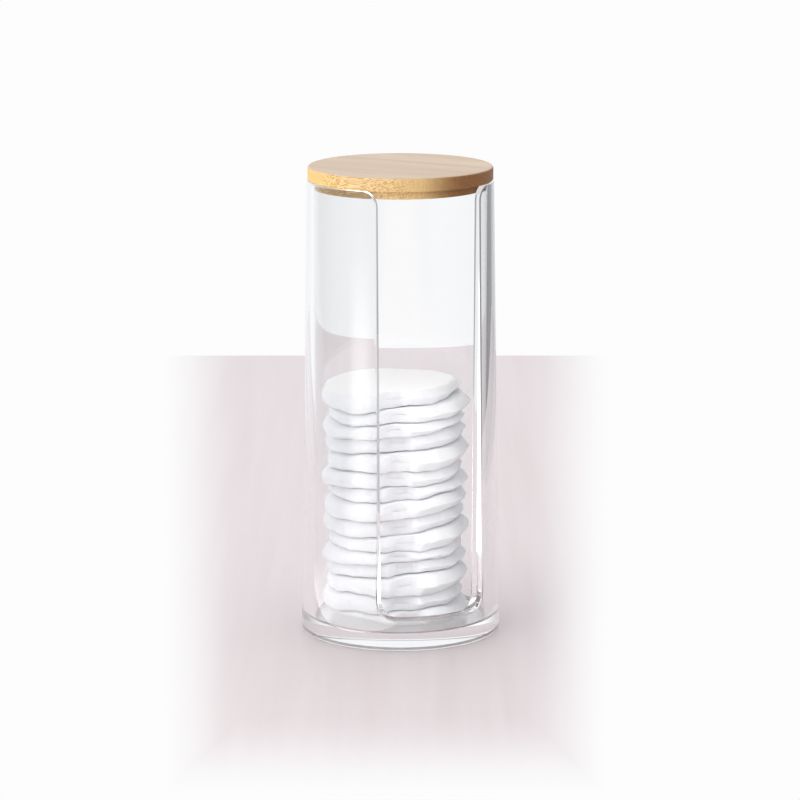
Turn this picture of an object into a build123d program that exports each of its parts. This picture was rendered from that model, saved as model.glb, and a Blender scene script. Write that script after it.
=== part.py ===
"""Cotton-pad dispenser: a clear moulded cup with a tall front slot, a bamboo lid and a pile of pads.

Lengths are millimetres. +Z is up, the slot faces -Y and the origin is the centre of the foot.
The pads are lifted out through the slot by a finger, and the cup is filled again from the top.
"""

import os
from math import cos, hypot, radians, sin, sqrt, tan

from build123d import *

os.makedirs("parts", exist_ok=True)

# --------------------------------------------------------------- driving dimensions

# Cup: moulded in one piece, so the outside has draft and the bore is straight
body_height = 178.8
foot_radius = 39.2
rim_radius = 36.3
bore_radius = 33.8
floor_top = 6.0
foot_bevel = 1.0
floor_bevel = 0.8
edge_round = 0.6

# Underside: a shallow recess leaves a ring to stand on
recess_depth = 0.8
recess_radius = 34.0

# Slot: open at the rim, with radial cut faces and round corners
sill_height = 12.6
slot_half_width_at_rim = 21.2
slot_half_width_at_foot = 21.8
slot_face_angle = 34.8
slot_corner_radius = 7.0
rim_corner_radius = 6.0

# Lid: one disc of laminated bamboo with a plug turned under it
lid_radius = 36.0
lid_thickness = 5.4
lid_top_round = 0.9
lid_under_bevel = 0.4
plug_clearance = 0.4
plug_depth = 3.1
plug_bevel = 0.5

# Pads: a pile of puffy cotton rounds that leans a little to one side
pad_count = 15
pad_radius = 28.2
edge_draw_in = 1.0
pile_height = 93.0
pile_tilt = 4.0
top_tilt = 1.0
lean_direction = 159.0
pile_offset = 2.0
pad_stray = 1.4
stray_turn = 137.5
thickness_swing = 0.12
top_pad_gap = 0.3


# --------------------------------------------------------------- cup


def wall_radius(height):
    """Outer radius of the drafted wall at a height above the table."""
    return foot_radius + (rim_radius - foot_radius) * height / body_height


with BuildPart() as cup_blank:
    # Half section through the cup, on the slot's side so that the slot removes the seam
    with BuildSketch(Plane.YZ):
        with BuildLine():
            Polyline(
                (0, recess_depth),
                (-recess_radius, recess_depth),
                (-recess_radius, 0),
                (-foot_radius, 0),
                (-rim_radius, body_height),
                (-bore_radius, body_height),
                (-bore_radius, floor_top),
                (0, floor_top),
                close=True,
            )
        make_face()
        corners = vertices()
        chamfer(corners.sort_by_distance((0, -foot_radius, 0))[0], foot_bevel)
        chamfer(corners.sort_by_distance((0, -bore_radius, floor_top))[0], floor_bevel)
    revolve(axis=Axis.Z)


def slot_corners(height, half_width):
    """Corners of the slot's cutter at one height: its sides run square through the round wall."""
    depth = sqrt(wall_radius(height) ** 2 - half_width**2)
    side_x = sin(radians(slot_face_angle))
    side_y = cos(radians(slot_face_angle))
    inner = (half_width - 8 * side_x, -depth + 8 * side_y)
    outer = (half_width + 12 * side_x, -depth - 12 * side_y)
    return [inner, outer, (-outer[0], outer[1]), (-inner[0], inner[1])]


with BuildPart() as slot_cutter:
    with BuildSketch(Plane.XY.offset(sill_height)):
        Polygon(*slot_corners(sill_height, slot_half_width_at_foot), align=None)
    with BuildSketch(Plane.XY.offset(body_height)):
        Polygon(*slot_corners(body_height, slot_half_width_at_rim), align=None)
    loft(ruled=True)
    lower_sides = slot_cutter.faces().sort_by(Axis.Z)[0].edges()
    fillet(lower_sides.sort_by(lambda edge: abs(edge.center().X))[-2:], slot_corner_radius)

with BuildPart() as holder_body:
    add(cup_blank.part)
    add(slot_cutter.part, mode=Mode.SUBTRACT)
    # Round the slot's two shoulders where it opens through the rim
    rim_edges = holder_body.edges().group_by(Axis.Z)[-1]
    fillet(rim_edges.filter_by(GeomType.LINE), rim_corner_radius)
    # Then round the outer loop, where fingers pass. The core shuts off on the inner one: it stays crisp
    outer_wall = holder_body.faces().filter_by(GeomType.CONE).sort_by(SortBy.AREA)[-1]
    finger_edges = outer_wall.edges().filter_by(lambda edge: edge.center().Z > sill_height - 0.01)
    fillet(finger_edges, edge_round)

holder_body.part.label = "holder_body"
export_step(holder_body.part, "parts/holder_body.step")


# --------------------------------------------------------------- lid

plug_radius = bore_radius - plug_clearance
lid_top = body_height + lid_thickness

with BuildPart() as lid:
    with BuildSketch(Plane.XZ):
        with BuildLine():
            Polyline(
                (0, body_height - plug_depth),
                (plug_radius, body_height - plug_depth),
                (plug_radius, body_height),
                (lid_radius, body_height),
                (lid_radius, lid_top),
                (0, lid_top),
                close=True,
            )
        make_face()
        corners = vertices()
        chamfer(corners.sort_by_distance((plug_radius, 0, body_height - plug_depth))[0], plug_bevel)
        chamfer(corners.sort_by_distance((lid_radius, 0, body_height))[0], lid_under_bevel)
        fillet(corners.sort_by_distance((lid_radius, 0, lid_top))[0], lid_top_round)
    revolve(axis=Axis.Z)

lid.part.label = "lid"
export_step(lid.part, "parts/lid.step")


# --------------------------------------------------------------- pads


def pile_level(index):
    """Height, on the cup's axis, of the plane under pad number index, counted from the floor."""
    swing = thickness_swing * sin(radians(2 * stray_turn * index))
    share = index / pad_count
    return floor_top + pile_height * share + swing * pile_height / pad_count


def pile_slope(index):
    """Fall of the plane under pad number index: level on the floor, leaning above it."""
    if index == 0:
        return 0.0
    if index == pad_count:
        return tan(radians(top_tilt))
    return tan(radians(pile_tilt)) * min(1.0, index / 2)


def tilted_plane(centre_x, centre_y, level, slope):
    """Plane through (0, 0, level), low on the leaning side, centred over (centre_x, centre_y)."""
    slope_x = -slope * cos(radians(lean_direction))
    slope_y = -slope * sin(radians(lean_direction))
    height = level + slope_x * centre_x + slope_y * centre_y
    return Plane(
        origin=(centre_x, centre_y, height),
        x_dir=(1, 0, slope_x),
        z_dir=(-slope_x, -slope_y, 1),
    )


# A pad's own section: its radius at each share of its thickness
pad_face_radius = pad_radius - edge_draw_in
pad_section = [(0.0, pad_face_radius), (0.5, pad_radius), (1.0, pad_face_radius)]


def make_pad(index):
    """Pad number index from the floor: full at half height, drawn in to both faces."""
    stray = radians(stray_turn * index)
    centre_x = pile_offset * cos(radians(lean_direction)) + pad_stray * cos(stray)
    centre_y = pile_offset * sin(radians(lean_direction)) + pad_stray * sin(stray)
    low = pile_level(index) + (top_pad_gap if index == pad_count - 1 else 0)
    high = pile_level(index + 1)
    with BuildPart() as pad:
        for share, radius in pad_section:
            level = low + (high - low) * share
            slope = pile_slope(index) + (pile_slope(index + 1) - pile_slope(index)) * share
            with BuildSketch(tilted_plane(centre_x, centre_y, level, slope)):
                with BuildLine():
                    for quarter in range(4):
                        CenterArc((0, 0), radius, 90 * quarter, 90)
                make_face()
        loft(ruled=True)
    return pad.part


for pad_index in range(pad_count):
    pad_name = f"cotton_pad_{pad_index + 1:02d}"
    cotton_pad = make_pad(pad_index)
    cotton_pad.label = pad_name
    export_step(cotton_pad, f"parts/{pad_name}.step")
    reach = hypot(cotton_pad.center().X, cotton_pad.center().Y) + pad_radius
    print(f"{pad_name}: reaches {reach:.1f} mm from the axis, in a bore of {bore_radius} mm")
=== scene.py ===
# %% [markdown]
# # A clear cotton-pad dispenser with a bamboo lid
#
# The real thing is a clear moulded cup with a tall slot in its front, a lid turned from laminated
# bamboo, and a pile of fifteen cotton pads. Almost all of its character is in how light behaves:
# it bends in the cup's thick wall, soaks into the cotton and skims over the wood's fibres. So the
# pieces here are made with exact curved surfaces and exact normals, and the materials carry fine
# detail.
#
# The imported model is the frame: its boxes give the main sizes, and every piece rides on one of
# its bodies. Lengths are in metres, so a size in millimetres is multiplied by MM.

# %% The frame
import math

import bpy
import numpy as np
from mathutils import Matrix, Vector


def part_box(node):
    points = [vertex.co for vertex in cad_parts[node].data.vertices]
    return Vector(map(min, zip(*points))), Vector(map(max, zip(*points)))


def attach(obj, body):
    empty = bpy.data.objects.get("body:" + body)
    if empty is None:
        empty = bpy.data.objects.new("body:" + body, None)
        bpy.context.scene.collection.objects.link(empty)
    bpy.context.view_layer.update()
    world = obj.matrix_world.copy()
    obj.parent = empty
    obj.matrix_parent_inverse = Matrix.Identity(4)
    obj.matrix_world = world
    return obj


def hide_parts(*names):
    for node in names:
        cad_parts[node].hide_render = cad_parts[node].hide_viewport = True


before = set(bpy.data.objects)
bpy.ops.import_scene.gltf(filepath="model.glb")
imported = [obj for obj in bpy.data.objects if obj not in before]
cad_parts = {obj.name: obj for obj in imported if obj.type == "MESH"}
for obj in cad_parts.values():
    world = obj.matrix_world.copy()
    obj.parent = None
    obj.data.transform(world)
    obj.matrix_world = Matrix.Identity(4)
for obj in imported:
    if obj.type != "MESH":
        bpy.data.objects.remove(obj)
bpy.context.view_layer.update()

MM = 0.001

# %% [markdown]
# ## Arithmetic for node trees
#
# A node tree is easier to read as a formula than as forty linked boxes. A small class wraps a
# socket and lets Python's own + - * / ** add the Math nodes, and one method adds every other
# node. The same two classes serve the materials and the Geometry Nodes tree, which share their
# Math nodes.

# %% Node sums


class Value:
    """A number from a node, on which Python's operators add Math nodes."""

    def __init__(self, recipe, socket):
        self.recipe = recipe
        self.socket = socket

    def math(self, operation, *others):
        values = dict(enumerate([self, *others]))
        node = self.recipe.node("ShaderNodeMath", {"operation": operation}, values)
        return Value(self.recipe, node.outputs[0])

    def __add__(self, other):
        return self.math("ADD", other)

    __radd__ = __add__

    def __sub__(self, other):
        return self.math("SUBTRACT", other)

    def __rsub__(self, other):
        return (self * -1) + other

    def __mul__(self, other):
        return self.math("MULTIPLY", other)

    __rmul__ = __mul__

    def __truediv__(self, other):
        return self.math("DIVIDE", other)

    def __pow__(self, other):
        return self.math("POWER", other)


class Recipe:
    """Adds nodes to one tree."""

    def __init__(self, tree):
        self.tree = tree

    def node(self, kind, settings=None, values=None):
        """One node: its settings, then its sockets' values or links, by name or number."""
        node = self.tree.nodes.new(kind)
        for name, setting in (settings or {}).items():
            setattr(node, name, setting)
        for key, value in (values or {}).items():
            socket = node.inputs[key]
            if isinstance(value, Value):
                self.tree.links.new(value.socket, socket)
            else:
                socket.default_value = value
        return node

    def value(self, kind, settings=None, values=None, output=0):
        """One node, given back as its output."""
        return Value(self, self.node(kind, settings, values).outputs[output])

    def smooth_step(self, value, low, high):
        """0 below low, 1 above high and a smooth rise between them."""
        settings = {"interpolation_type": "SMOOTHSTEP"}
        values = {"Value": value, "From Min": low, "From Max": high}
        return self.value("ShaderNodeMapRange", settings, values)

    def parts(self, vector):
        """A vector's X, Y and Z."""
        split = self.node("ShaderNodeSeparateXYZ", values={0: vector})
        return [Value(self, socket) for socket in split.outputs]

    def dot(self, vector, direction):
        """How far a vector reaches in a direction."""
        values = {0: vector, 1: tuple(direction)}
        return self.value("ShaderNodeVectorMath", {"operation": "DOT_PRODUCT"}, values, "Value")

    def stretched(self, vector, scale):
        """A place, scaled by a different amount along each axis."""
        return self.value("ShaderNodeMapping", values={"Vector": vector, "Scale": scale})

    def noise(self, vector, scale, detail=2.0, rough=0.5):
        """Noise from 0 to 1."""
        values = {"Vector": vector, "Scale": scale, "Detail": detail, "Roughness": rough}
        return self.value("ShaderNodeTexNoise", values=values)

    def blend(self, share, first, second):
        """A colour between two, each a colour or another blend."""
        values = {"Factor": share, 6: first, 7: second}
        return self.value("ShaderNodeMix", {"data_type": "RGBA"}, values, output=2)

    def ray(self, name):
        """Whether a ray is of some kind, or how often it has bounced, by the output's name."""
        return self.value("ShaderNodeLightPath", output=name)

    def show(self, shader, kind="Material"):
        """Makes a shader the surface of the tree's material or world."""
        self.node(f"ShaderNodeOutput{kind}", values={"Surface": shader})


def new_material(name):
    """An empty node material and its recipe."""
    material = bpy.data.materials.new(name)
    material.use_nodes = True
    material.node_tree.nodes.clear()
    return material, Recipe(material.node_tree)


# %% [markdown]
# ## Clear acrylic
#
# Clear plastic has no colour of its own: it shows what is behind it, bent by its refractive index
# of 1.49, and a faint gloss. Shadow rays would otherwise stop at it and leave the pads in a dark
# cup, so for those alone the surface is see-through, with a slight loss. The same surface is used
# once a ray has bounced many times inside the wall: the real wall lets such light out at last,
# but a renderer gives up on it and shows a black edge.

# %% Clear acrylic material
acrylic, recipe = new_material("clear_acrylic")
plastic = recipe.value(
    "ShaderNodeBsdfPrincipled",
    values={
        "Base Color": (0.99, 0.995, 1.0, 1.0),
        "Roughness": 0.0,
        "IOR": 1.49,
        "Transmission Weight": 1.0,
    },
)
slight_loss = (0.99, 0.992, 0.995, 1.0)
see_through = recipe.value("ShaderNodeBsdfTransparent", values={"Color": slight_loss})
most_bounces = 2.5
is_trapped = recipe.ray("Glossy Depth").math("GREATER_THAN", most_bounces)
is_open = recipe.ray("Is Shadow Ray").math("MAXIMUM", is_trapped)
recipe.show(recipe.value("ShaderNodeMixShader", values={0: is_open, 1: plastic, 2: see_through}))
print("clear acrylic:", len(recipe.tree.nodes), "nodes")

# %% [markdown]
# ## Meshes and objects
#
# Every piece starts the same way: a mesh from points and faces, and an object that holds it.

# %% Mesh and object


def mesh_of(name, points, faces, material=None):
    """A mesh from its points and faces."""
    mesh = bpy.data.meshes.new(name)
    mesh.from_pydata(points, [], faces)
    if material:
        mesh.materials.append(material)
    return mesh


def placed(name, data):
    """A new object with its mesh or camera data, in the scene."""
    piece = bpy.data.objects.new(name, data)
    bpy.context.collection.objects.link(piece)
    return piece


# %% [markdown]
# ## Skins of rings
#
# The cup and the lid are closed skins. Each is a run of rings with the same number of points,
# joined by strips of quads. A ring carries the surface's exact normal on each side of it, so a
# flat strip stays flat, a round one looks round, and a sharp edge between them stays sharp. Glass
# needs this: it bends light by its normals, and averaged ones make it ripple.

# %% Ring skins


def make_skin(name, rings, material):
    """A closed mesh from rings of (points, normals before, normals after), capped at both ends."""
    count = len(rings[0][0])
    points = np.concatenate([ring[0] for ring in rings])
    here = np.arange(count)
    following = (here + 1) % count
    faces = [here[::-1]]
    normals = [np.tile((0.0, 0.0, -1.0), (count, 1))]
    for number in range(len(rings) - 1):
        low = number * count
        high = low + count
        after = rings[number][2]
        before = rings[number + 1][1]
        faces.extend(np.stack([low + here, low + following, high + following, high + here], 1))
        corners = np.stack([after, after[following], before[following], before], 1)
        normals.append(corners.reshape(-1, 3))
    faces.append((len(rings) - 1) * count + here)
    normals.append(np.tile((0.0, 0.0, 1.0), (count, 1)))
    mesh = mesh_of(name, points.tolist(), [face.tolist() for face in faces], material)
    mesh.polygons.foreach_set("use_smooth", [True] * len(mesh.polygons))
    mesh.normals_split_custom_set(np.concatenate(normals).tolist())
    print(f"{name}: {len(mesh.vertices)} points, {len(mesh.polygons)} faces")
    return placed(name, mesh)


def around(angles, radial, upright):
    """Vectors at angles round the cup, from radial and upright parts. Angle 0 faces the slot."""
    radial = np.broadcast_to(radial, angles.shape)
    upright = np.broadcast_to(upright, angles.shape)
    return np.stack([radial * np.sin(angles), -radial * np.cos(angles), upright], 1)


def turned_ring(angles, radius, height, normal, next_normal=None):
    """A level ring. Its normals are (radial, upright), before it and, if they differ, after it."""
    after = normal if next_normal is None else next_normal
    points = around(angles, radius, height)
    return points, around(angles, *normal), around(angles, *after)


def round_over(angles, radius, height, size, start, end, steps, inward=False):
    """The rings of a quarter round about (radius, height), between two angles of its section."""
    rings = []
    side = -1.0 if inward else 1.0
    for turn in np.radians(np.linspace(start, end, steps)):
        normal = (side * math.cos(turn), side * math.sin(turn))
        place = (radius + size * math.cos(turn), height + size * math.sin(turn))
        rings.append(turned_ring(angles, *place, normal))
    return rings


# %% [markdown]
# ## The cup's outline
#
# Unrolled, the wall's free edge is one loop: the sill, a round corner, the slot's side, a round
# shoulder, and the rim round the back. The loop is drawn flat, with arc length across and height
# up, and each point knows which way the opening lies. The wall is then rings that change step by
# step from the round foot into that loop, so no facet crosses an edge.

# %% Cup sizes
_, cup_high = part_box("holder_body")
foot_radius = cup_high[0]
rim_height = cup_high[2]
rim_radius = 36.3 * MM
bore_radius = 33.8 * MM
floor_top = 6.0 * MM
sill_height = 12.6 * MM
slot_half_width_at_sill = 21.8 * MM
slot_half_width_at_rim = 21.2 * MM
corner_radius = 7.0 * MM
shoulder_radius = 6.0 * MM
foot_round = 1.2 * MM
floor_round = 1.4 * MM
outer_round = 0.6 * MM
inner_round = 0.3 * MM
recess_radius = 34.0 * MM
recess_depth = 0.8 * MM
lean = math.atan((foot_radius - rim_radius) / rim_height)
print(f"cup: {2 * foot_radius / MM:.1f} mm foot, {rim_height / MM:.1f} mm high")
print(f"draft: {math.degrees(lean):.2f} degrees")


def wall_radius(height):
    """Outer radius of the drafted wall."""
    return foot_radius + (rim_radius - foot_radius) * height / rim_height


def slot_side(height):
    """Arc length along the wall from the slot's middle to its side."""
    share = (height - sill_height) / (rim_height - sill_height)
    narrowing = slot_half_width_at_sill - slot_half_width_at_rim
    half_width = slot_half_width_at_sill - narrowing * share
    radius = wall_radius(height)
    return radius * math.asin(half_width / radius)


# %% Half of the outline


def straight_run(start, end, opening, steps):
    """Points of a straight stretch, with the way to the opening, without its last point."""
    share = np.arange(steps)[:, None] / steps
    points = np.array(start) + (np.array(end) - np.array(start)) * share
    return np.hstack([points, np.tile(opening, (steps, 1))])


def corner_run(centre, radius, start, end, side, steps):
    """Points of a round corner, with the way to the opening, without its last point."""
    turns = np.radians(start + (end - start) * np.arange(steps) / steps)
    spokes = np.stack([np.cos(turns), np.sin(turns)], 1)
    return np.hstack([np.array(centre) + radius * spokes, side * spokes])


sill_steps = 18
corner_steps = 12
side_steps = 40
rim_steps = 100
corner_top = sill_height + corner_radius
shoulder_foot = rim_height - shoulder_radius
side_low = slot_side(corner_top)
side_high = slot_side(shoulder_foot)
rim_back = math.pi * rim_radius
corner_centre = (side_low - corner_radius, corner_top)
shoulder_centre = (side_high + shoulder_radius, shoulder_foot)
runs = [
    straight_run((0, sill_height), (corner_centre[0], sill_height), (0, 1), sill_steps),
    corner_run(corner_centre, corner_radius, -90, 0, -1, corner_steps),
    straight_run((side_low, corner_top), (side_high, shoulder_foot), (-1, 0), side_steps),
    corner_run(shoulder_centre, shoulder_radius, 180, 90, 1, corner_steps),
    straight_run((shoulder_centre[0], rim_height), (rim_back, rim_height), (0, 1), rim_steps),
    np.array([[rim_back, rim_height, 0, 1]]),
]
right_half = np.vstack(runs)
mirrored = right_half[-2:0:-1] * (-1, 1, -1, 1)
outline = np.vstack([right_half, mirrored])
print("outline:", len(outline), "points")

# %% [markdown]
# The foot's ring has as many points as the outline. They fan out evenly under each stretch of it:
# a few under the sill, a narrow fan up the slot's side, and the rest round the back.

# %% The foot's angles
side_end = sill_steps + corner_steps + side_steps + corner_steps
last_point = len(right_half) - 1
foot_turn = np.interp(
    np.arange(last_point + 1),
    [0, sill_steps, side_end, last_point],
    np.radians([0, 22, 72, 180]),
)
foot_angles = np.concatenate([foot_turn, -foot_turn[-2:0:-1]])
print("foot:", len(foot_angles), "points")


# %% [markdown]
# Where the wall meets the opening, its edge is rounded by a few rings that run along the outline.
# The section's turn is 0 where the round leaves the outer wall, a right angle where it faces the
# opening, and a half turn where it meets the bore.

# %% Rings along the outline


def edge_line(inset):
    """Angles and heights along the outline, inset from its edge."""
    across, height, across_way, up_way = outline.T
    height = height - inset * up_way
    return (across - inset * across_way) / wall_radius(height), height


def edge_ring(inset, turn, depth=0.0, radius=None):
    """A ring along the outline, at a depth in the outer wall or at a radius of its own."""
    angles, height = edge_line(inset)
    if radius is None:
        radius = wall_radius(height) - depth
    across_way, up_way = outline.T[2:]
    tangent = np.stack([np.cos(angles), np.sin(angles), np.zeros_like(angles)], 1)
    opening = tangent * across_way[:, None] + np.array([0.0, 0.0, 1.0]) * up_way[:, None]
    normal = around(angles, math.cos(turn), 0.0) + opening * math.sin(turn)
    return around(angles, radius, height), normal, normal


def wall_between(first, last, radius_at, normal, steps=40):
    """The rings of a wall between two lines of (angles, height), without either line."""
    rings = []
    for share in np.linspace(0, 1, steps)[1:-1]:
        angles, height = [low + (high - low) * share for low, high in zip(first, last)]
        normals = around(angles, *normal)
        rings.append((around(angles, radius_at(height), height), normals, normals))
    return rings


# %% The cup
outward = (math.cos(lean), math.sin(lean))
foot_flat = foot_radius - foot_round
floor_flat = bore_radius - floor_round
foot_line = (foot_angles, foot_round)
floor_line = (foot_angles, floor_top + floor_round)

rings = [turned_ring(foot_angles, recess_radius, recess_depth, (0, -1), (-1, 0))]
rings.append(turned_ring(foot_angles, recess_radius, 0.0, (-1, 0), (0, -1)))
rings += round_over(foot_angles, foot_flat, foot_round, foot_round, -90, 0, 8)
rings += wall_between(foot_line, edge_line(outer_round), wall_radius, outward)
for turn in np.linspace(0, math.pi / 2, 6):
    inset = outer_round * (1 - math.sin(turn))
    rings.append(edge_ring(inset, turn, depth=outer_round * (1 - math.cos(turn))))
for turn in np.linspace(math.pi / 2, math.pi, 5):
    inset = inner_round * (1 - math.sin(turn))
    rings.append(edge_ring(inset, turn, radius=bore_radius + inner_round * (1 + math.cos(turn))))
rings += wall_between(edge_line(inner_round), floor_line, lambda height: bore_radius, (-1.0, 0.0))
rings += round_over(foot_angles, floor_flat, floor_line[1], floor_round, 0, -90, 8, True)

cup = make_skin("clear_cup", rings, acrylic)
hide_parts("holder_body")
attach(cup, "holder")

# %% [markdown]
# ## Bamboo
#
# The lid is cut from a board of bamboo strips glued side by side. Along the strips run fine
# fibres. The faces are pale and show them as faint lines. The edge cuts across them: it is more
# golden, and freckled with their brown ends. At one end of the grain, to the front right, the
# edge and the plug's side are painted dark brown: painted shade for the side that little light
# reaches. Towards the other end the edge is yellower. The fibres are noise stretched far along
# the grain, so one noise draws the lines on the faces and, by itself, the freckles on the edge.

# %% Lid sizes
lid_low, lid_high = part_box("lid")
lid_radius = lid_high[0]
lid_top = lid_high[2]
plug_foot = lid_low[2]
plug_clearance = 0.4 * MM
plug_radius = bore_radius - plug_clearance
print(f"lid: {2 * lid_radius / MM:.1f} mm across, plug {2 * plug_radius / MM:.1f} mm")

# %% Bamboo colours
bamboo, recipe = new_material("bamboo")
place = recipe.value("ShaderNodeTexCoord", output="Object")
grain_way = math.radians(-50)
rotation = (0.0, 0.0, -grain_way)
turned = recipe.value("ShaderNodeMapping", values={"Vector": place, "Rotation": rotation})
along, across, height = recipe.parts(turned)

strip_width = 6.5 * MM
wander = recipe.noise(recipe.stretched(turned, (4.0, 30.0, 30.0)), 1.0) - 0.5
strip = (across / strip_width + wander * 0.06).math("FLOOR")
strip_tone = recipe.value("ShaderNodeTexWhiteNoise", {"noise_dimensions": "1D"}, {"W": strip})
fibre_noise = recipe.noise(recipe.stretched(turned, (40.0, 3900.0, 3900.0)), 1.0, 1.0)
fibres = recipe.smooth_step(fibre_noise, 0.42, 0.62)
clouds = recipe.noise(recipe.stretched(turned, (14.0, 120.0, 120.0)), 1.0, 3.0)
tone = clouds * 0.6 + strip_tone * 0.3 + 0.05

# %% Faces, edge and painted shade
face = recipe.blend(tone, (0.47, 0.33, 0.22, 1.0), (0.66, 0.53, 0.40, 1.0))
face = recipe.blend(fibres * 0.16, face, (0.42, 0.26, 0.14, 1.0))
golden = recipe.blend(tone, (0.65, 0.42, 0.14, 1.0), (0.84, 0.63, 0.33, 1.0))
from_axis = (along * along + across * across).math("SQRT")
yellow_side = recipe.smooth_step(along / from_axis * -1.0, 0.0, 0.8)
golden = recipe.blend(yellow_side * 0.6, golden, (0.80, 0.55, 0.11, 1.0))
freckled = recipe.blend(fibres * 0.8, golden, (0.40, 0.20, 0.06, 1.0))
# Painted shade: towards the front right end of the grain the edge and plug are darkened to brown.
shaded_end = recipe.smooth_step(along / from_axis, 0.62, 0.97)
painted_shade = recipe.blend(fibres * 0.6, (0.24, 0.085, 0.018, 1.0), (0.07, 0.022, 0.006, 1.0))
edge = recipe.blend(shaded_end * 0.9, freckled, painted_shade)
is_top = recipe.smooth_step(height, lid_top - 0.5 * MM, lid_top - 0.05 * MM)
wood_colour = recipe.blend(is_top, edge, face)

bump = recipe.value(
    "ShaderNodeBump", values={"Strength": 0.3, "Distance": 0.12 * MM, "Height": fibres * -1.0}
)
wood = recipe.value(
    "ShaderNodeBsdfPrincipled",
    values={
        "Base Color": wood_colour,
        "Roughness": 0.42 + fibres * 0.12,
        "Normal": bump,
        "IOR": 1.45,
    },
)
recipe.show(wood)
print("bamboo:", len(recipe.tree.nodes), "nodes")

# %% [markdown]
# ## The lid
#
# A disc with a plug turned under it: a plain lathe job, so its section is a list of levels and
# small rounds. It sits a hair above the cup's rim, because two surfaces in one place flicker.

# %% The lid
lid_under = rim_height + 0.05 * MM
top_round = 0.9 * MM
under_round = 0.4 * MM
plug_round = 0.5 * MM
lid_angles = np.radians(np.arange(240) * 1.5)


def lid_round(radius, height, size, start, end, steps):
    """A round of the lid, with its outermost radius and outermost height."""
    level = height + size if start < 0 else height - size
    return round_over(lid_angles, radius - size, level, size, start, end, steps)


rings = lid_round(plug_radius, plug_foot, plug_round, -90, 0, 6)
rings.append(turned_ring(lid_angles, plug_radius, lid_under, (1, 0), (0, -1)))
rings += lid_round(lid_radius, lid_under, under_round, -90, 0, 6)
rings += lid_round(lid_radius, lid_top, top_round, 0, 90, 8)
lid = make_skin("bamboo_lid", rings, bamboo)
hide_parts("lid")
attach(lid, "lid")

# %% [markdown]
# ## Cotton
#
# A cotton pad is pressed wool: white, dull, and soft at the edge because its loose fibres catch
# light. A little light passes through, which the shader's subsurface weight stands for, and a
# sheen stands for the fibres. The bump is two noises, one for the press and one for the fibres.

# %% Cotton material
cotton, recipe = new_material("cotton")
place = recipe.value("ShaderNodeTexCoord", output="Object")
lumps = recipe.noise(place, 260.0, 2.0)
fuzz = recipe.noise(place, 1500.0, 3.0, 0.65)
relief = lumps * 0.6 + fuzz * 0.4
bump = recipe.value(
    "ShaderNodeBump", values={"Strength": 0.35, "Distance": 0.3 * MM, "Height": relief}
)
light_path = (4.0 * MM,) * 3
whiteness = recipe.blend(fuzz, (0.905, 0.918, 0.945, 1.0), (0.96, 0.97, 0.99, 1.0))
wool = recipe.value(
    "ShaderNodeBsdfPrincipled",
    values={
        "Base Color": whiteness,
        "Roughness": 0.95,
        "Normal": bump,
        "Sheen Weight": 0.4,
        "Sheen Roughness": 0.6,
        "Subsurface Weight": 0.7,
        "Subsurface Radius": light_path,
        "Subsurface Scale": 1.0,
        "Specular IOR Level": 0.1,
    },
)
recipe.show(wool)
print("cotton:", len(recipe.tree.nodes), "nodes")

# %% [markdown]
# ## One simulated blank
#
# A cotton pad is stamped from a thick web of wool: the stamp crimps its rim flat and the faces
# swell between. A flat drum of cloth with air pumped into it does the same, with the same small
# crimps, so one blank is simulated and all fifteen pads are pressed from it. The solver's
# settings suit furniture, so the drum is made twenty times full size and scaled down afterwards.
# A last smoothing takes away the steps that the even quads left along its rim.

# %% The blank
blank_scale = 20.0
blank_radius = 30.5 * MM * blank_scale
blank_thickness = 2.0 * MM * blank_scale
voxel = 1.0 * MM * blank_scale
drum_points = 128
air_frames = 20


def baked(piece):
    """The piece's mesh with its modifiers applied. The piece itself goes."""
    seen = piece.evaluated_get(bpy.context.evaluated_depsgraph_get())
    mesh = bpy.data.meshes.new_from_object(seen)
    bpy.data.objects.remove(piece)
    return mesh


turns = np.linspace(0, math.tau, drum_points, endpoint=False)
circle = np.stack([np.cos(turns), np.sin(turns)], 1) * blank_radius
points = [(x, y, side * blank_thickness / 2) for side in (-1, 1) for x, y in circle]
lower = list(range(drum_points))
upper = [point + drum_points for point in lower]
following = lower[1:] + lower[:1]
faces = [lower[::-1], upper]
for low, after, high in zip(lower, following, upper):
    faces.append((low, after, after + drum_points, high))
drum = placed("drum", mesh_of("drum", points, faces))
remesh = drum.modifiers.new("Even quads", "REMESH")
remesh.mode = "VOXEL"
remesh.voxel_size = voxel
blank = placed("blank", baked(drum))

air = blank.modifiers.new("Air", "CLOTH")
air.settings.quality = 4
air.settings.use_pressure = True
air.settings.uniform_pressure_force = 0.7
air.settings.effector_weights.gravity = 0.0
air.settings.tension_stiffness = 12.0
air.settings.compression_stiffness = 4.0
air.settings.bending_stiffness = 0.3
for frame_number in range(1, air_frames + 1):
    bpy.context.scene.frame_set(frame_number)
blank = placed("blank", baked(blank))
bpy.context.scene.frame_set(1)

soft = blank.modifiers.new("Soft", "SMOOTH")
soft.factor = 0.5
soft.iterations = 8
finer = blank.modifiers.new("Finer", "SUBSURF")
finer.levels = 1
finer.render_levels = 1
blank_mesh = baked(blank)
blank_mesh.transform(Matrix.Scale(1 / blank_scale, 4))
blank_places = np.array([point.co[:] for point in blank_mesh.vertices])
blank_reach = float(np.hypot(blank_places[:, 0], blank_places[:, 1]).max())
blank_half = float(blank_places[:, 2].max())
print(f"blank: reach {blank_reach / MM:.1f} mm, half thickness {blank_half / MM:.1f} mm")

# %% [markdown]
# ## Pressing the pads
#
# One Geometry Nodes tree presses the blank into any pad of the pile. Each pad fills the room
# between two wavy sheets, and its neighbours follow the same waves, so the pads lie close. In
# places one presses into the next by up to 0.2 mm. The blank's height says how full the pad is at
# each place. Raised to a power, the same blank gives a puffy rim or a thin pinched one, and here
# that power changes with the direction.
#
# The pile leans to one side and each pad strays a little from it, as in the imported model.

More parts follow.
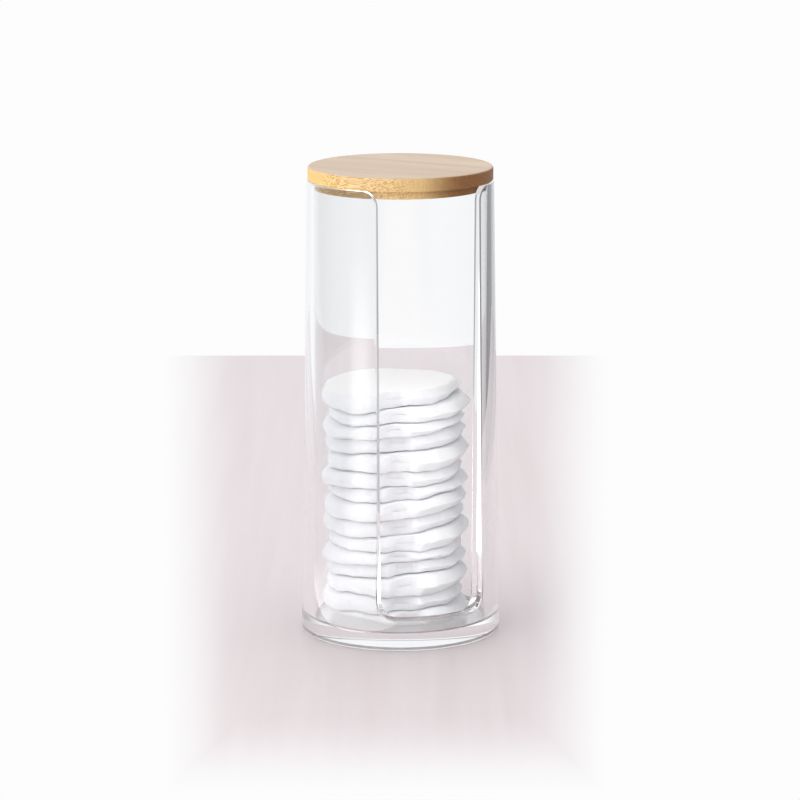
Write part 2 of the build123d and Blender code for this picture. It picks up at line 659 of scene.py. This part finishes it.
# %% Pad numbers
pad_nodes = sorted(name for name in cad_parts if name.startswith("cotton_pad"))
pad_count = len(pad_nodes)
pile_foot = floor_top + 0.1 * MM
pile_height = 93.0 * MM
pile_tilt = 4.0
top_tilt = 1.0
lean_way = math.radians(159.0)
pile_offset = 2.0 * MM
pad_stray = 1.4 * MM
stray_turn = 137.5
thickness_swing = 0.12
pad_radius = 28.7 * MM
wave_height = 3.0 * MM
top_front_draw = 0.12
floor_curl = 3.2 * MM
gap = 0.05 * MM


def sheet(number):
    """Level and slopes of the sheet under a pad, counted from the cup's floor."""
    swing = thickness_swing * math.sin(math.radians(2 * stray_turn * number))
    level = pile_foot + pile_height * (number + swing) / pad_count
    fall = math.tan(math.radians(pile_tilt)) * min(1.0, number / 2)
    if number == pad_count:
        fall = math.tan(math.radians(top_tilt))
    return level, -fall * math.cos(lean_way), -fall * math.sin(lean_way)


def wave(number):
    """Height of the waves of a sheet: none on the floor and few on the top."""
    if number == 0:
        return 0.0
    return wave_height * (0.4 if number == pad_count else 1.0)


def pad_values(number):
    """What the pad tree needs for one pad."""
    stray = math.radians(stray_turn * number)
    low_level, low_x, low_y = sheet(number)
    high_level, high_x, high_y = sheet(number + 1)
    return {
        "Low Level": low_level,
        "High Level": high_level,
        "Low Slope X": low_x,
        "Low Slope Y": low_y,
        "High Slope X": high_x,
        "High Slope Y": high_y,
        "Centre X": pile_offset * math.cos(lean_way) + pad_stray * math.cos(stray),
        "Centre Y": pile_offset * math.sin(lean_way) + pad_stray * math.sin(stray),
        "Radius": pad_radius,
        "Blank Reach": blank_reach,
        "Blank Half": blank_half,
        "Turn": stray,
        "Number": float(number),
        "Low Wave": wave(number),
        "High Wave": wave(number + 1),
        "Curl": floor_curl if number == 0 else 0.0,
        "Front Draw": top_front_draw if number == pad_count - 1 else 0.0,
        "Gap": gap,
    }


print(f"pile: {pad_count} pads, {pile_height / MM:.0f} mm high")

# %% Pad tree
pad_tree = bpy.data.node_groups.new("cotton_pad", "GeometryNodeTree")
pad_inputs = {}
pad_tree.interface.new_socket("Mesh", in_out="OUTPUT", socket_type="NodeSocketGeometry")
pad_tree.interface.new_socket("Blank", in_out="INPUT", socket_type="NodeSocketGeometry")
for name in pad_values(0):
    socket = pad_tree.interface.new_socket(name, in_out="INPUT", socket_type="NodeSocketFloat")
    pad_inputs[name] = socket.identifier
recipe = Recipe(pad_tree)
group = recipe.node("NodeGroupInput")


def given(name):
    """One of the tree's inputs."""
    return Value(recipe, group.outputs[name])


def pad_noise(vector, scale, seed, detail=1.0):
    """Noise from -1 to 1 that differs for each seed."""
    values = {"Vector": vector, "W": seed, "Scale": scale, "Detail": detail}
    return recipe.value("ShaderNodeTexNoise", {"noise_dimensions": "4D"}, values) * 2.0 - 1.0


def towards(angle, direction):
    """1 where an angle points in a direction in degrees, -1 where it points away."""
    return (angle - direction * math.radians(1)).math("COSINE")


# %% The pad seen from above
position = recipe.value("GeometryNodeInputPosition")
blank_x, blank_y, blank_z = recipe.parts(position)
angle = blank_y.math("ARCTAN2", blank_x) + given("Turn")
share = (blank_x * blank_x + blank_y * blank_y).math("SQRT") / given("Blank Reach")
across = recipe.value(
    "ShaderNodeCombineXYZ", values={"X": angle.math("COSINE"), "Y": angle.math("SINE")}
)

# The rim isn't a true circle: it is drawn in here and there, ragged with loose fibres, swollen in
# lobes, and dented in front by the finger that pulls the pads out. The dents line up in a valley
# that runs a little askew. Each change is a share of the radius
ragged_share = 0.016
drawn_share = 0.03
lobe_share = 0.045
dent_share = 0.2
valley_way = -101.0
valley_skew = 0.8
valley_stray = 3.5
number = given("Number")
near_rim = share ** 8.0
from_middle = share ** 2.0
number_noise = pad_noise(across * 0.0, 1.0, number * 11.3)
drawn = pad_noise(across, 1.4, number * 3.7, 2.0) * 0.5 + 0.5
ragged = pad_noise(across, 9.0, number * 2.3, 3.0)
lobes = pad_noise(across, 2.6, number * 5.9, 1.0) - 0.3
dent_way = number_noise * valley_stray - number * valley_skew + valley_way
dent = recipe.smooth_step(towards(angle, dent_way), 0.965, 1.0)
front_part = recipe.smooth_step(towards(angle, -72.0), 0.3, 1.0)
rim_change = (ragged * ragged_share + lobes * lobe_share - dent * dent_share) * near_rim
rim_change = rim_change - drawn * drawn_share - front_part * from_middle * given("Front Draw")
radius = given("Radius") * share * (1.0 + rim_change)
x = given("Centre X") + radius * angle.math("COSINE")
y = given("Centre Y") + radius * angle.math("SINE")

# %% [markdown]
# The sheets between the pads are planes with waves. A sheet's waves come from its own number, so
# the top of one pad and the underside of the next have the same waves. They grow from each pad's
# own middle, so away from it the two surfaces can part or cross a little. The lowest pad lies on
# the floor, but its front left edge has curled up and is thin.

# %% Sheets between the pads
spot = recipe.value("ShaderNodeCombineXYZ", values={"X": x, "Y": y})


def sheet_height(level, slope_x, slope_y, wave, number):
    """Height of one sheet at the point's place."""
    broad = pad_noise(spot, 34.0, number * 0.02, 0.0)
    fine = pad_noise(spot, 110.0, number * 0.01, 1.0)
    plane = given(level) + given(slope_x) * x + given(slope_y) * y
    return plane + (broad + fine * 0.5) * given(wave) * from_middle


low = sheet_height("Low Level", "Low Slope X", "Low Slope Y", "Low Wave", number)
high = sheet_height("High Level", "High Slope X", "High Slope Y", "High Wave", number + 1.0)
curl_place = recipe.smooth_step(towards(angle, 196.0), 0.55, 0.95) * share ** 4.0
low = low + given("Curl") * curl_place

# %% [markdown]
# Between its sheets a pad is as full as the blank is there. It is full over most of its width,
# rounds off at the rim, and is pinched thinner on its right, by chance in places, and most in the
# dent.

# %% The pad between its sheets
least_pinch = 0.45
pinch_side = recipe.smooth_step(towards(angle, -35.0), -0.2, 0.9)
pinch_chance = pad_noise(across, 2.2, number * 7.1 + 3.0, 1.0)
pinch = 0.75 + pinch_side * 0.8 + pinch_chance * 0.4 + dent * 3.0
pinch = pinch.math("MAXIMUM", least_pinch)
full_at = given("Blank Half") * (0.45 + pinch_side * 0.35)
fullness = (blank_z.math("ABSOLUTE") / full_at).math("MINIMUM", 1.0)
rounding = (1.0 - share ** 16.0).math("MAXIMUM", 0.0) ** 0.5 * 0.85 + 0.15
lift = blank_z.math("SIGN") * fullness ** pinch * rounding
middle = (low + high) * 0.5
half = ((high - low) * 0.5 - given("Gap")).math("MAXIMUM", 0.5 * MM)
z = middle + half * lift
final = recipe.value("ShaderNodeCombineXYZ", values={"X": x, "Y": y, "Z": z})
moves = {"Geometry": given("Blank"), "Position": final}
moved = recipe.value("GeometryNodeSetPosition", values=moves)
smooth = recipe.value("GeometryNodeSetShadeSmooth", values={"Geometry": moved})
painted = recipe.value("GeometryNodeSetMaterial", values={"Geometry": smooth, "Material": cotton})
recipe.node("NodeGroupOutput", values={0: painted})
print("pad tree:", len(pad_tree.nodes), "nodes")

# %% The pads
for number, node_name in enumerate(pad_nodes):
    pressed = placed("pressed", blank_mesh.copy())
    modifier = pressed.modifiers.new("Cotton pad", "NODES")
    modifier.node_group = pad_tree
    for name, value in pad_values(number).items():
        modifier[pad_inputs[name]] = value
    pad = placed(f"puffy_{node_name}", baked(pressed))
    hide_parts(node_name)
    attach(pad, "top_pad" if number == pad_count - 1 else "holder")
    print(pad.name, len(pad.data.polygons), "faces")

# %% [markdown]
# ## Table, backdrop and light
#
# The photograph has a pale table with its far edge a little over half a metre behind the holder,
# and a white wall. To both sides and in front the table fades into white, for the camera alone,
# so the light that the table throws back stays the same. Under the cup it glows faintly: the
# thick clear floor gathers light there, which a renderer's shadow rays don't.

# %% Camera place
camera_turn = math.radians(-21.0)
camera_rise = math.radians(11.76)
camera_distance = 1.372
aim = Vector((-0.00015, 0.00006, 0.0914))
to_camera = Vector(
    (
        math.sin(camera_turn) * math.cos(camera_rise),
        -math.cos(camera_turn) * math.cos(camera_rise),
        math.sin(camera_rise),
    )
)
camera_data = bpy.data.cameras.new("camera")
camera_data.lens = 157.3
camera_data.sensor_width = 36.0
camera = placed("camera", camera_data)
camera.location = aim + to_camera * camera_distance
camera.rotation_euler = to_camera.to_track_quat("Z", "Y").to_euler()
bpy.context.scene.camera = camera
print(f"camera: {camera_distance:.2f} m away, {camera_data.lens:.0f} mm lens")

# %% Table
behind = Vector((-math.sin(camera_turn), math.cos(camera_turn), 0))
right = Vector((math.cos(camera_turn), math.sin(camera_turn), 0))

table_paint, recipe = new_material("pale_table")
place = recipe.value("ShaderNodeTexCoord", output="Object")
rotation = (0.0, 0.0, -camera_turn)
turned = recipe.value("ShaderNodeMapping", values={"Vector": place, "Rotation": rotation})
streaks = recipe.noise(recipe.stretched(turned, (120.0, 5.0, 1.0)), 1.0, 3.0)
bands = recipe.noise(recipe.stretched(turned, (14.0, 1.5, 1.0)), 1.0, 1.0)
grain = streaks * 0.6 + bands * 0.4
table_tone = recipe.blend(grain, (0.56, 0.475, 0.475, 1.0), (0.66, 0.605, 0.61, 1.0))
table_colour = recipe.value(
    "ShaderNodeBsdfPrincipled",
    values={
        "Base Color": table_tone,
        "Roughness": 0.4,
        "Specular IOR Level": 0.4,
    },
)

# %% White borders, and the glow under the cup
strip_middle = -0.006
glow_strength = 0.3
depth = recipe.dot(place, behind)
sideways = recipe.dot(place, right) / (1.0 + depth / camera_distance)
off_middle = (sideways - strip_middle).math("ABSOLUTE")
white_sides = recipe.smooth_step(off_middle, 0.055, 0.09)
white_front = recipe.smooth_step(depth * -1.0, 0.12, 0.22)
whiteness = white_sides.math("MAXIMUM", white_front) * recipe.ray("Is Camera Ray")
wall_white = {"Color": (0.98, 0.98, 0.985, 1.0), "Strength": 1.0}
white = recipe.value("ShaderNodeEmission", values=wall_white)
faded = recipe.value("ShaderNodeMixShader", values={0: whiteness, 1: table_colour, 2: white})
from_axis = recipe.value("ShaderNodeVectorMath", {"operation": "LENGTH"}, {0: place}, "Value")
gathered = 1.0 - recipe.smooth_step(from_axis, 0.5 * foot_radius, 0.95 * foot_radius)
glow = recipe.value("ShaderNodeEmission", values={"Strength": gathered * glow_strength})
recipe.show(recipe.value("ShaderNodeAddShader", values={0: faded, 1: glow}))

# %% The table's sheet
far_edge = 0.56
near_edge = 1.6
half_table = 0.3
corners = [
    behind * far_edge + right * half_table,
    behind * far_edge - right * half_table,
    behind * -near_edge - right * half_table,
    behind * -near_edge + right * half_table,
]
corner_points = [corner[:] for corner in corners]
table = placed("table", mesh_of("table", corner_points, [(0, 1, 2, 3)], table_paint))
print("table:", len(table_paint.node_tree.nodes), "nodes")

# %% [markdown]
# The studio is bright on the left and behind, and dim on the right, which is what draws the thin
# grey lines in the cup's edges. The camera sees the wall plain white, and so does a ray that has
# gone straight through the clear cup. Only light that has been thrown about inside the cup sees
# the room's darker side, and a dark doorway low on the right. Dull surfaces get some fill from
# all round. Light that a pad has scattered finds the room dimmer through the cup, because the pad
# has already had part of that light: the cup lets shadow rays through.

# %% World
world = bpy.data.worlds.new("studio")
bpy.context.scene.world = world
world.use_nodes = True
world.node_tree.nodes.clear()
recipe = Recipe(world.node_tree)
is_mirrored = recipe.ray("Is Glossy Ray")
is_refracted = recipe.ray("Is Transmission Ray")
is_clean = recipe.ray("Glossy Depth").math("LESS_THAN", 0.5)
is_scattered = recipe.ray("Diffuse Depth").math("GREATER_THAN", 0.5)
is_straight = is_refracted * is_clean * (1.0 - is_scattered)
sees_wall = recipe.ray("Is Camera Ray").math("MAXIMUM", is_straight)
is_soft = (1.0 - is_mirrored) * (1.0 - is_refracted)

# %% Light of the room, by direction
way = recipe.value("ShaderNodeTexCoord", output="Generated")
rightward = recipe.dot(way, right)
backward = recipe.dot(way, behind)
upward = recipe.dot(way, (0.0, 0.0, 1.0))
least_light = 0.15
left_light = recipe.smooth_step(rightward * -1.0, 0.3, 0.9) * 0.33
back_light = recipe.smooth_step(backward, 0.3, 0.85) * 0.75
top_light = recipe.smooth_step(upward, 0.0, 0.5) * 0.42 * (0.5 + is_soft * 0.5)
front_light = recipe.smooth_step(backward * -1.0, 0.1, 0.7) * 0.5
front_light = front_light * (1.0 - recipe.smooth_step(upward, 0.25, 0.75) * 0.7)
front_light = front_light * (1.0 - is_mirrored * 0.7)
left_fill = recipe.smooth_step(rightward * -1.0, 0.0, 0.7) * 0.75
right_fill = recipe.smooth_step(rightward, 0.0, 0.7) * 0.45
fill = is_soft * (0.18 + left_fill + right_fill)
lit = least_light + left_light + back_light + top_light + front_light + fill

# %% What is dimmed, and the wall
low_part = 1.0 - recipe.smooth_step(upward, -0.15, 0.1)
doorway = recipe.smooth_step(rightward, 0.3, 0.45) * low_part
door_dimming = doorway * (1.0 - is_soft) * 0.6
is_counted = is_refracted * is_scattered
count_dimming = is_counted * (recipe.smooth_step(upward, 0.1, 0.6) * 0.5 + 0.1)
room_light = lit * (1.0 - door_dimming) * (1.0 - count_dimming)
room_look = {"Color": (0.97, 0.98, 1.0, 1.0), "Strength": room_light}
room = recipe.value("ShaderNodeBackground", values=room_look)
wall = recipe.value("ShaderNodeBackground", values=wall_white)
seen = recipe.value("ShaderNodeMixShader", values={0: sees_wall, 1: room, 2: wall})
recipe.show(seen, "World")
print("studio:", len(recipe.tree.nodes), "nodes")

# %% [markdown]
# The key lamp is a tall softbox on the left. A second glowing sheet is seen by reflections alone:
# it lies on the table and turns up at its far end, and the cup reflects it as a soft white band
# from foot to shoulder. Its light fades to its sides and upwards. The camera sees neither, and
# each only adds its light to what lies behind it, so neither hides anything. They glow on their
# near side alone.

# %% Lamps
key_turn = camera_turn - math.radians(46)
key_way = Vector((math.sin(key_turn), -math.cos(key_turn), 0))
key_side = Vector((math.cos(key_turn), math.sin(key_turn), 0))
rise = Vector((0, 0, 1))


def glowing_sheet(name, half_width, profile, strength, fade_from, fade_to, hidden_from):
    """A sheet through (distance, height) places along the key's way, hidden from kinds of ray."""
    glow, recipe = new_material(name)
    place = recipe.value("ShaderNodeTexCoord", output="Object")
    side = recipe.dot(place, key_side / half_width)
    height = recipe.parts(place)[2]
    fade = 1.0 - recipe.smooth_step(side.math("ABSOLUTE"), 0.1, 1.0)
    fade = fade * (1.0 - recipe.smooth_step(height, fade_from, fade_to))
    is_back = recipe.value("ShaderNodeNewGeometry", output="Backfacing")
    light = recipe.value(
        "ShaderNodeEmission", values={"Strength": fade * (1.0 - is_back) * strength}
    )
    clear = recipe.value("ShaderNodeBsdfTransparent")
    recipe.show(recipe.value("ShaderNodeAddShader", values={0: light, 1: clear}))
    points = []
    for distance, level in profile:
        middle = key_way * distance + rise * level
        points += [(middle - key_side * half_width)[:], (middle + key_side * half_width)[:]]
    faces = [(2 * i, 2 * i + 2, 2 * i + 3, 2 * i + 1) for i in range(len(profile) - 1)]
    glowing = placed(name, mesh_of(name, points, faces, glow))
    for kind in ("camera", "transmission", *hidden_from):
        setattr(glowing, f"visible_{kind}", False)


lamp_profile = [(0.42, 0.01), (0.42, 0.55)]
band_profile = [(0.06, 0.001), (0.42, 0.001), (0.421, 0.16)]
glowing_sheet("key_lamp", 0.17, lamp_profile, 2.0, 0.4, 0.6, ["glossy"])
glowing_sheet("band_sheet", 0.14, band_profile, 4.2, 0.03, 0.12, ["diffuse", "shadow"])
print("lamps: key_lamp, band_sheet")

# %% View
bpy.context.scene.view_settings.view_transform = "Standard"
